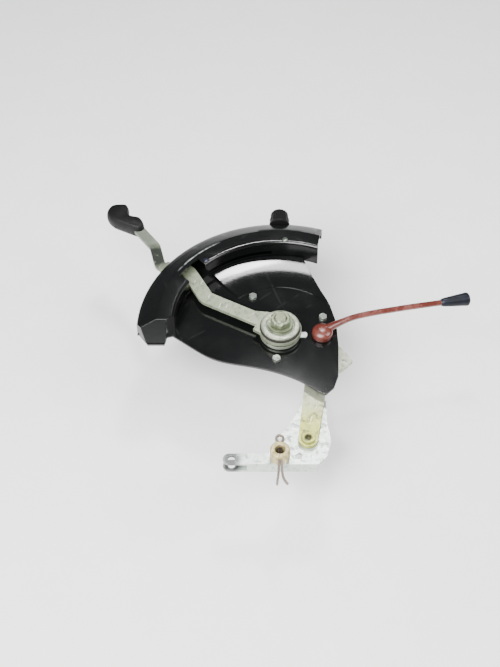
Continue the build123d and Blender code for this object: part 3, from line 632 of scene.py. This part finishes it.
class QUADRANT_OT_sheet_metal(bpy.types.Operator):
    """Side plate, gate channel, end cap and mounting bracket"""

    bl_idname = "quadrant.sheet_metal"
    bl_label = "Painted sheet metal"

    # The plate's right edge, in millimetres.
    right_edge = ((68.5, 53.0), (56.2, 80.7), (11.6, 189.6))
    # The pressed panel: radii of its step and of the inner wall, its sweep in degrees, how far it rises
    # between them and to what power, and how far its skin stands off the plate.
    panel_reach = (85 * MM, 138.5 * MM)
    panel_sweep = (40.3, 131.0)
    panel_rise = 5.7 * MM
    panel_power = 2.5
    panel_skin = 0.09 * MM

    def execute(self, context):
        edge = context.scene.quadrant_sizes.broken_edge
        dressed("side_plate", "quadrant", "gloss_black_enamel", edge)
        dressed("gate_channel", "quadrant", "folded_black_enamel", 0.7 * edge, BENT)
        dressed("channel_end_cap", "quadrant", "folded_black_enamel", edge)
        dressed("mounting_bracket", "quadrant", "satin_black_enamel", edge)
        self.pressed_panel()
        return {"FINISHED"}

    def pressed_panel(self):
        """Skin of the pressed panel. At each angle the radius runs from the step to the inner wall, or
        to the plate's right edge where that is nearer. The height is the dish's: it rises by the
        radius's share of the way from step to wall, to the power 2.5."""
        skin, rise, power = self.panel_skin, self.panel_rise, self.panel_power
        step, wall = self.panel_reach
        top = high("side_plate") + skin
        angle = np.radians(np.linspace(*self.panel_sweep, 160))
        reach = np.full(angle.shape, wall)
        for (px, py), (qx, qy) in zip(self.right_edge, self.right_edge[1:]):
            towards = np.cos(angle) * (qy - py) - np.sin(angle) * (qx - px)
            distance = (px * (qy - py) - py * (qx - px)) / np.where(towards > 0, towards, 1e-9) * MM
            reach = np.minimum(reach, np.where(towards > 0, distance - 0.4 * MM, wall))
        share = np.concatenate([[0], np.linspace(0, 1, 24), [1]])
        radius = step - skin + (reach[:, None] - step) * share
        height = top - rise + rise * np.clip((radius - step) / (wall - step), 0, 1) ** power
        height[:, [0, -1]] = top - rise - MM
        grid = np.stack([radius * np.cos(angle)[:, None], radius * np.sin(angle)[:, None], height], 2)
        points, faces = closed_tube(grid)
        place_mesh("pressed_panel_skin", points, faces, "quadrant", "gloss_black_enamel", ("side_plate",),
                   THREADED)


class QUADRANT_OT_throttle_lever(bpy.types.Operator):
    """Throttle lever bar with its moulded knob"""

    bl_idname = "quadrant.throttle_lever"
    bl_label = "Throttle lever"

    # The knob's rim, in crest radii from the main pivot.
    knob_outline = ((-1.000, 0.975), (-1.032, 1.058), (-1.112, 1.090), (-1.128, 1.172), (-1.160, 1.203),
                    (-1.255, 1.190), (-1.291, 1.115), (-1.250, 1.040), (-1.155, 0.985), (-1.050, 0.940))

    def execute(self, context):
        sizes = context.scene.quadrant_sizes
        dressed("lever_bar", "throttle_lever", "pale_chromate_zinc", sizes.lever_edge, BENT)
        outline = np.array(self.knob_outline) * CREST
        points, faces = pillow(outline, low("lever_knob"), high("lever_knob"), sizes.knob_rounding)
        place_mesh("throttle_knob", points, faces, "throttle_lever", "dark_moulded_plastic",
                   ("lever_knob",), MOULDED)
        return {"FINISHED"}


class QUADRANT_OT_pivot_stack(bpy.types.Operator):
    """Bush, friction discs, washers, spring washers, nut and threaded shaft at the main pivot"""

    bl_idname = "quadrant.pivot_stack"
    bl_label = "Main pivot stack"

    def execute(self, context):
        sizes = context.scene.quadrant_sizes
        dressed("tab_washer", "quadrant", "clear_zinc", 0.3 * MM)
        tube = 12 * MM
        washer("pivot_bush_ring", "pivot_bush", "quadrant", "hub_chromate_zinc",
               0.8 * MM, tube)
        washer("rear_lining", "rear_friction_disc", "quadrant", "friction_lining",
               0.3 * MM, tube)
        washer("front_lining", "front_friction_disc", "throttle_lever", "friction_lining",
               0.3 * MM, SHAFT)
        washer("pivot_tube_wall", "pivot_tube", "quadrant", "clear_zinc",
               0.4 * MM, 8.05 * MM)
        self.pressure_washer()
        self.spring_washers()
        self.nut_and_shaft(sizes.thread_pitch)
        return {"FINISHED"}

    def pressure_washer(self):
        """Turned washer: flat rim, shallow dished face, rolled edge."""
        bottom, top = low("pressure_washer"), high("pressure_washer")
        rim = 25.5 * MM
        land = 19 * MM
        section = [(SHAFT, bottom), (rim, bottom), (rim, top - 0.6 * MM), (rim - 1.6 * MM, top),
                   (land, top), (land - 0.8 * MM, top - 0.5 * MM), (SHAFT, top - 0.5 * MM)]
        points, faces = ring(turned(loop_rounded(section, 0.7 * MM, 3), (0, 0), 120))
        place_mesh("pressure_washer_turned", points, faces, "throttle_lever", "hub_chromate_zinc",
                   ("pressure_washer",), TURNED)

    def spring_washers(self):
        """Two cone rings, back to back: height rises in a line from one edge to the other."""
        bottom, top = low("spring_washers"), high("spring_washers")
        unit = (top - bottom) / 4
        inner, outer = 8.1 * MM, 17 * MM
        lower = [(inner, bottom + unit), (outer, bottom), (outer, bottom + unit),
                 (inner, bottom + 2 * unit)]
        upper = [(inner, bottom + 2 * unit), (outer, bottom + 3 * unit), (outer, top),
                 (inner, top - unit)]
        shells = [ring(turned(loop_rounded(s, 0.3 * MM, 3), (0, 0), 96)) for s in (lower, upper)]
        points, faces = join_shells(*shells)
        place_mesh("spring_washer_pair", points, faces, "throttle_lever", "nut_chromate_zinc",
                   ("spring_washers",), TURNED)

    def nut_and_shaft(self, pitch):
        """Hexagon nut and the shaft's threaded end with its plain shank below."""
        grid = hexagon_profile(HUB_FLATS, low("hub_nut"), high("hub_nut"), SHAFT, 120, 0.8 * MM)
        points, faces = ring(grid)
        place_mesh("hub_nut_hexagon", points, faces, "throttle_lever", "nut_chromate_zinc", ("hub_nut",),
                   HEXAGON)
        top, bottom = high("pivot_shaft"), low("pivot_shaft")
        shoulder = high("throttle_crank")
        thread = threaded(7.98 * MM, low("spring_washers"), top, pitch, 0.9 * MM, 72)
        seat = low("spring_washers")
        profile = [(0.4 * MM, bottom), (PIN, bottom), (PIN, shoulder), (SHAFT, shoulder), (SHAFT, seat),
                   (0.4 * MM, seat)]
        shank = turned(rounded(profile, 0.5 * MM, 3), (0, 0), 72)
        points, faces = join_shells(closed_tube(thread), closed_tube(shank))
        place_mesh("pivot_shaft_threaded", points, faces, "throttle_lever", "nut_chromate_zinc",
                   ("pivot_shaft",), THREADED)


class QUADRANT_OT_throttle_crank(bpy.types.Operator):
    """Crank, washer and nut behind the plate"""

    bl_idname = "quadrant.throttle_crank"
    bl_label = "Throttle crank"

    def execute(self, context):
        dressed("throttle_crank", "throttle_lever", "yellow_chromate_zinc", 0.6 * MM)
        washer("crank_washer_ring", "crank_washer", "throttle_lever", "clear_zinc",
               0.3 * MM, PIN)
        grid = hexagon_profile(CRANK_FLATS, low("crank_nut"), high("crank_nut"), PIN, 96, 0.6 * MM)
        points, faces = ring(grid)
        place_mesh("crank_nut_hexagon", points, faces, "throttle_lever", "clear_zinc", ("crank_nut",),
                   HEXAGON)
        return {"FINISHED"}


class QUADRANT_OT_selector_lever(bpy.types.Operator):
    """Selector boss, rod, knob, shaft and tube"""

    bl_idname = "quadrant.selector_lever"
    bl_label = "Selector lever"

    boss_radius = 14 * MM
    boss_side = 5.5 * MM
    knob_length = 41 * MM
    # The rod's centre line, in millimetres.
    rod_points = ((60, 2), (80, 14.6), (108, 27), (162, 39.4), (224, 51))

    def execute(self, context):
        sizes = context.scene.quadrant_sizes
        centre = middle("selector_boss")
        bottom, top = low("selector_boss"), high("selector_boss")
        self.boss(centre, bottom, top)
        height = (low("selector_rod") + high("selector_rod")) / 2
        line = np.array([(x * MM, y * MM, height) for x, y in self.rod_points])
        path = smooth_path(line, 120)
        gone = np.concatenate([[0], np.cumsum(np.linalg.norm(np.diff(path, axis=0), axis=1))])
        taper = 19 * MM
        swell = sizes.rod_root_radius - sizes.rod_radius
        thick = sizes.rod_radius + swell * np.exp(-(gone / taper) ** 2)
        points, faces = closed_tube(level_tube(path, thick, thick * 0.98, 36))
        place_mesh("selector_rod_forged", points, faces, "selector_lever", "brick_red_enamel",
                   ("selector_rod",), MOULDED)
        self.knob(line)
        points, faces = closed_tube(turned(rounded(
            [(0.4 * MM, low("selector_shaft")), (PIN, low("selector_shaft")), (PIN, bottom + 1 * MM),
             (0.4 * MM, bottom + 1 * MM)], 0.8 * MM, 3), centre, 48))
        place_mesh("selector_shaft_turned", points, faces, "selector_lever", "clear_zinc",
                   ("selector_shaft",), BENT)
        washer("selector_tube_wall", "selector_tube", "quadrant", "clear_zinc",
               0.4 * MM, 6.05 * MM)
        return {"FINISHED"}

    def boss(self, centre, bottom, top):
        """Domed boss: a straight side under a quarter ellipse, r = R cos p, h = base + rise sin p."""
        radius = self.boss_radius
        side = bottom + self.boss_side
        p = np.linspace(0, math.pi / 2, 16)[:-1]
        dome = np.stack([radius * np.cos(p) ** 0.85, side + (top - side) * np.sin(p)], 1)
        foot = rounded([(0.4 * MM, bottom), (radius, bottom), (radius, side)], 0.7 * MM, 3)
        profile = np.concatenate([foot[:-1], dome, [[0.4 * MM, top]]])
        points, faces = closed_tube(turned(profile, centre, 72))
        place_mesh("selector_boss_domed", points, faces, "selector_lever", "brick_red_enamel",
                   ("selector_boss",), MOULDED)

    def knob(self, line):
        """Long moulded knob: the radius swells from neck to end and closes in a quarter ellipse."""
        along = line[-1] - line[-2]
        along /= np.linalg.norm(along)
        start = line[-1] - 6 * MM * along
        length = self.knob_length
        s = np.linspace(0, 1, 40)
        swell = (5.4 + 4.4 * s ** 0.9) * MM
        close = (1 - np.clip((s - 0.86) / 0.14, 0, 1) ** 2.2) ** 0.5
        neck = 1 - 0.16 * np.exp(-(s / 0.05) ** 2)
        profile = np.stack([np.maximum(swell * close * neck, 0.3 * MM), s * length], 1)
        points, faces = closed_tube(lay(turned(profile, (0, 0), 56), start, along))
        place_mesh("selector_knob_moulded", points, faces, "selector_lever", "blue_black_plastic",
                   ("selector_knob",), MOULDED)


class QUADRANT_OT_drop_arm(bpy.types.Operator):
    """Drop arm with its washer, nut, hollow pin and clip"""

    bl_idname = "quadrant.drop_arm"
    bl_label = "Drop arm"

    def execute(self, context):
        dressed("drop_arm", "selector_lever", "yellow_chromate_zinc", 0.7 * MM)
        washer("drop_arm_washer_ring", "drop_arm_washer", "selector_lever", "clear_zinc",
               0.3 * MM, PIN)
        centre = middle("drop_arm_nut")
        grid = hexagon_profile(ARM_FLATS, low("drop_arm_nut"), high("drop_arm_nut"), PIN, 96, 0.6 * MM)
        points, faces = ring(shift(grid, centre))
        place_mesh("drop_arm_nut_hexagon", points, faces, "selector_lever", "clear_zinc", ("drop_arm_nut",),
                   HEXAGON)
        bottom, top = low("link_pin"), high("link_pin")
        head = top - 2.5 * MM
        section = [(3.8 * MM, bottom), (PIN, bottom), (PIN, head), (9 * MM, head), (9 * MM, top),
                   (3.8 * MM, top)]
        points, faces = ring(turned(loop_rounded(section, 0.7 * MM, 3), middle("link_pin"), 72))
        place_mesh("hollow_link_pin", points, faces, "selector_lever", "yellow_chromate_zinc",
                   ("link_pin",), TURNED)
        washer("link_pin_clip_ring", "link_pin_clip", "selector_lever", "clear_zinc",
               0.3 * MM, PIN)
        return {"FINISHED"}


class QUADRANT_OT_floating_link(bpy.types.Operator):
    """Folded link with its open clevis, and its washer"""

    bl_idname = "quadrant.floating_link"
    bl_label = "Floating link"

    def execute(self, context):
        dressed("link_plate", "floating_link", "clear_zinc", 0.7 * MM)
        washer("link_washer_ring", "link_washer", "floating_link", "clear_zinc",
               0.25 * MM, 6.05 * MM)
        return {"FINISHED"}


class QUADRANT_OT_swivel(bpy.types.Operator):
    """Hollow swivel boss, its washer and the split pin through it"""

    bl_idname = "quadrant.swivel"
    bl_label = "Swivel"

    def execute(self, context):
        centre = middle("swivel_boss")
        bottom, top = low("swivel_boss"), high("swivel_boss")
        foot = high("swivel_washer")
        profile = rounded([(0.4 * MM, bottom), (6 * MM, bottom), (6 * MM, bottom + 2 * MM),
                           (4.5 * MM, bottom + 2 * MM), (4.5 * MM, foot), (12.5 * MM, foot),
                           (12.5 * MM, top - 1.2 * MM), (11.3 * MM, top), (6.8 * MM, top),
                           (6 * MM, top - 0.8 * MM), (6 * MM, foot + 4 * MM), (0.4 * MM, foot + 4 * MM)],
                          0.6 * MM, 3)
        points, faces = closed_tube(turned(profile, centre, 96))
        place_mesh("swivel_boss_turned", points, faces, "swivel", "tarnished_brass_plate", ("swivel_boss",),
                   TURNED)
        washer("swivel_washer_ring", "swivel_washer", "swivel", "clear_zinc",
               0.25 * MM, 4.55 * MM)
        self.split_pin(centre)
        return {"FINISHED"}

    def split_pin(self, centre):
        """One half-round wire: down one leg, round the eye and back along the other."""
        height = (low("swivel_split_pin") + high("swivel_split_pin")) / 2
        x, y = centre[0] / MM, centre[1] / MM
        gap = 1.5
        route = [(x + 9.2, -232.4), (x + 6.6, -229.2), (x + 4.2, -224.5), (x + 2.6, -217),
                 (x + gap, y - 13), (x + gap, y + 8), (x + 1.5, y + 14.5), (x + 3.9, y + 17.2),
                 (x + 4.4, y + 20.5), (x + 3.2, y + 23.6), (x, y + 25.0), (x - 3.2, y + 23.6),
                 (x - 4.4, y + 20.5), (x - 3.9, y + 17.2), (x - 1.5, y + 14.5), (x - gap, y + 8),
                 (x - gap, y - 13), (x - 2.4, -217), (x - 3.6, -226), (x - 4.4, -233.8)]
        line = np.array([(a * MM, b * MM, height) for a, b in route])
        path = smooth_path(line, 220)
        ends = np.minimum(1, np.minimum(np.arange(220) + 1, np.arange(220, 0, -1)) / 4.0) ** 0.5
        points, faces = closed_tube(level_tube(path, 1.5 * MM * ends, 2.3 * MM * ends, 20, power=0.85))
        place_mesh("split_pin_wire", points, faces, "swivel", "rusted_steel_wire", ("swivel_split_pin",),
                   MOULDED)


class QUADRANT_OT_stop(bpy.types.Operator):
    """Sliding stop: shoe, stud and fluted thumb knob"""

    bl_idname = "quadrant.stop"
    bl_label = "Sliding stop"

    def execute(self, context):
        sizes = context.scene.quadrant_sizes
        dressed("stop_shoe", "stop_slider", "clear_zinc", 0.5 * MM)
        dressed("stop_stud", "stop_slider", "clear_zinc", 0.4 * MM)
        centre = middle("stop_knob")
        along = np.array([*plan_angle(STOP_ANGLE), 0.0])
        near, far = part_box("stop_knob")
        flange = (far[2] - near[2]) / 2
        body, length = flange - 1 * MM, far[1] - near[1]
        foot = along * STOP_FOOT + np.array([0.0, 0.0, centre[2]])
        profile = rounded([(3.1 * MM, 0.0), (flange, 0.0), (flange, 3 * MM), (body, 3 * MM),
                           (body, 0.6 * length), (0.9 * body, 0.64 * length), (0.9 * body, length),
                           (0.5 * body, length), (0.46 * body, length - 0.9 * MM),
                           (0.4 * MM, length - 0.9 * MM)], 0.9 * MM, 4)
        grid = turned(profile, (0, 0), 216)
        a = np.linspace(0, TURN, 216, endpoint=False)
        groove = sizes.flute_depth * (0.5 + 0.5 * np.cos(sizes.flutes * a)) ** 3
        side = np.clip((profile[:, 1] - 3.5 * MM) / MM, 0, 1) * (profile[:, 0] > 0.84 * body)
        grid[..., :2] *= (1 - side[:, None] * groove[None, :])[..., None]
        points, faces = closed_tube(lay(grid, foot, along))
        place_mesh("stop_knob_fluted", points, faces, "stop_knob", "dark_moulded_plastic", ("stop_knob",),
                   TURNED)
        return {"FINISHED"}


class QUADRANT_OT_fasteners(bpy.types.Operator):
    """Bolts, nuts and channel screws"""

    bl_idname = "quadrant.fasteners"
    bl_label = "Fasteners"

    # Bolts and the selector screw in millimetres, and the lip's screws in degrees from +X.
    bracket_bolts = ((-36.0, 66.5), (-5.3, -42.2))
    selector_screw = (58.0, 29.4)
    screw_angles = (86.5, 133.5)

    def execute(self, context):
        face = high("bracket_bolts") - 4 * MM
        shells = [shell for x, y in self.bracket_bolts
                  for shell in self.bolt((x * MM, y * MM), face, low("bracket_bolts"))]
        self.put("bracket_bolt_pair", shells, "bracket_bolts")
        nut = hexagon_profile(SMALL_FLATS, low("bracket_nuts"), high("bracket_nuts"), 3 * MM)
        shells = [ring(shift(nut, (x * MM, y * MM))) for x, y in self.bracket_bolts]
        self.put("bracket_nut_pair", shells, "bracket_nuts")
        x, y = self.selector_screw
        self.put("selector_screw_hexagon", self.bolt((x * MM, y * MM), face, low("selector_screw")),
                 "selector_screw")
        nut = hexagon_profile(SMALL_FLATS, low("selector_screw_nut"), high("selector_screw_nut"), 3 * MM)
        self.put("selector_screw_nut_hexagon", [ring(shift(nut, (x * MM, y * MM)))], "selector_screw_nut")
        seat = high("channel_screws") - 2.6 * MM
        bare, painted = self.screw_angles
        self.put("channel_screw_bare", [self.pan_screw(bare, seat)], "channel_screws")
        self.put("channel_screw_painted", [self.pan_screw(painted, seat)], "channel_screws",
                 "painted_over_screw")
        return {"FINISHED"}

    def put(self, name, shells, node, finish_name="bright_zinc_fixing"):
        """One piece made of several closed shells."""
        points, faces = join_shells(*shells)
        place_mesh(name, points, faces, "quadrant", finish_name, (node,), THREADED)

    def bolt(self, centre, face, tip):
        """Hexagon head on a round flange, and a threaded shank below the plate."""
        head = hexagon_profile(SMALL_FLATS, face + 0.5 * MM, face + 4 * MM, 0.4 * MM)[:-1]
        flange = turned(rounded([(0.4 * MM, face), (5.6 * MM, face), (5.4 * MM, face + 0.7 * MM),
                                 (0.4 * MM, face + 0.9 * MM)], 0.2 * MM, 3), centre, 48)
        shank = threaded(2.97 * MM, tip, face, 1.0 * MM, 0.4 * MM, 32)
        return [closed_tube(shift(head, centre)), closed_tube(flange), closed_tube(shift(shank, centre))]

    def pan_screw(self, angle, seat):
        """Pan head: a low ellipse over a short rim, with a hexagon recess and a plain shank."""
        p = np.linspace(0.1, 1.22, 8)
        dome = np.stack([4 * MM * np.cos(p), seat + 0.5 * MM + 2.1 * MM * np.sin(p)], 1)
        profile = np.concatenate([[[0.3 * MM, seat - 6 * MM], [2 * MM, seat - 6 * MM], [2 * MM, seat],
                                   [3.9 * MM, seat], [4 * MM, seat + 0.4 * MM]], dome,
                                  [[1.25 * MM, seat + 2.45 * MM], [1.2 * MM, seat + 1.2 * MM],
                                   [0.3 * MM, seat + 1.0 * MM]]])
        grid = turned(profile, (0, 0), 48)
        a = np.linspace(0, TURN, 48, endpoint=False)
        hexed = 1 / np.cos(np.mod(a + math.pi / 6, math.pi / 3) - math.pi / 6)
        grid[-3:-1, :, :2] *= hexed[None, :, None]
        x, y = plan_angle(angle)
        return closed_tube(shift(grid, (LIP_SCREWS * x, LIP_SCREWS * y)))


class QUADRANT_OT_stage(bpy.types.Operator):
    """Floor, softboxes and camera"""

    bl_idname = "quadrant.stage"
    bl_label = "Stage"

    floor_half = 6.0
    # Name, place, point aimed at, width and length, all in metres, then the power setting and a share of
    # it. The two at the back show in the pressed panel as its bright band.
    softboxes = (
        ("front_softbox", (-0.75, -1.25, 1.75), (0.0, 0.0, 0.0), (1.7, 1.7), "key_power", 1.0),
        ("back_softbox", (0.11, 0.6, 1.2), (-0.07, 0.11, 0.04), (0.14, 0.18), "back_power", 1.0),
        ("back_strip", (0.02, 0.675, 1.2), (0.01, 0.12, 0.04), (0.13, 0.2), "back_power", 0.36),
        ("right_softbox", (1.6, -0.2, 1.5), (0.0, 0.0, 0.0), (1.2, 1.2), "side_power", 1.0),
    )
    camera_place = (-0.04, -1.0259, 1.2618)
    camera_tilt = 40.0
    focal_length = 64.8
    film_width = 36.0

    def execute(self, context):
        settings = context.scene.quadrant_stage
        half = self.floor_half
        mesh = bpy.data.meshes.new("studio_floor")
        drop = -settings.floor_drop
        corners = [(-half, -half, drop), (half, -half, drop), (half, half, drop), (-half, half, drop)]
        mesh.from_pydata(corners, [], [(0, 1, 2, 3)])
        floor = bpy.data.objects.new("studio_floor", mesh)
        mesh.materials.append(finish("studio_paper"))
        context.scene.collection.objects.link(floor)
        world = bpy.data.worlds.new("studio_room")
        context.scene.world = world
        world.use_nodes = True
        room = world.node_tree.nodes["Background"]
        room.inputs["Color"].default_value = tuple(settings.room_colour)
        room.inputs["Strength"].default_value = settings.fill
        for name, place, target, size, setting, share in self.softboxes:
            self.softbox(context, name, place, target, size, share * getattr(settings, setting))
        self.camera(context)
        return {"FINISHED"}

    def softbox(self, context, name, place, target, size, power):
        """A rectangular area light aimed at a point."""
        lamp = bpy.data.lights.new(name, "AREA")
        lamp.shape = "RECTANGLE"
        lamp.size, lamp.size_y = size
        lamp.energy = power
        holder = bpy.data.objects.new(name, lamp)
        aim = np.array(target) - np.array(place)
        pitch = math.atan2(math.hypot(aim[0], aim[1]), -aim[2])
        turn = math.atan2(-aim[0], aim[1])
        holder.location = place
        holder.rotation_euler = (pitch, 0, turn)
        context.scene.collection.objects.link(holder)

    def camera(self, context):
        """Looks down on the quadrant at 50 degrees from its lower side."""
        lens = bpy.data.cameras.new("camera")
        lens.sensor_width = self.film_width
        lens.lens = self.focal_length
        lens.dof.use_dof = False
        eye = bpy.data.objects.new("camera", lens)
        eye.location = self.camera_place
        eye.rotation_euler = (math.radians(self.camera_tilt), 0, 0)
        context.scene.collection.objects.link(eye)
        context.scene.camera = eye


class QUADRANT_PT_panel(bpy.types.Panel):
    """Lists the operators and the settings"""

    bl_idname = "QUADRANT_PT_panel"
    bl_label = "Lever quadrant"
    bl_space_type = "VIEW_3D"
    bl_region_type = "UI"
    bl_category = "Quadrant"

    def draw(self, context):
        for step in STEPS:
            self.layout.operator(step.bl_idname)
        scene = context.scene
        for group in (scene.quadrant_sizes, scene.quadrant_colours, scene.quadrant_stage):
            for name in group.bl_rna.properties.keys():
                if name not in ("rna_type", "name"):
                    self.layout.prop(group, name)


STEPS = (QUADRANT_OT_sheet_metal, QUADRANT_OT_throttle_lever, QUADRANT_OT_pivot_stack,
         QUADRANT_OT_throttle_crank, QUADRANT_OT_selector_lever, QUADRANT_OT_drop_arm,
         QUADRANT_OT_floating_link, QUADRANT_OT_swivel, QUADRANT_OT_stop, QUADRANT_OT_fasteners,
         QUADRANT_OT_stage)
CLASSES = (QuadrantSizes, QuadrantColours, QuadrantStage) + STEPS + (QUADRANT_PT_panel,)


def register():
    for item in CLASSES:
        bpy.utils.register_class(item)
    bpy.types.Scene.quadrant_sizes = bpy.props.PointerProperty(type=QuadrantSizes)
    bpy.types.Scene.quadrant_colours = bpy.props.PointerProperty(type=QuadrantColours)
    bpy.types.Scene.quadrant_stage = bpy.props.PointerProperty(type=QuadrantStage)


def unregister():
    del bpy.types.Scene.quadrant_stage
    del bpy.types.Scene.quadrant_colours
    del bpy.types.Scene.quadrant_sizes
    for item in reversed(CLASSES):
        bpy.utils.unregister_class(item)


def main():
    """Registers the add-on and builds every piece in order."""
    register()
    for step in STEPS:
        group, action = step.bl_idname.split(".")
        getattr(getattr(bpy.ops, group), action)()


if __name__ == "__main__":
    main()
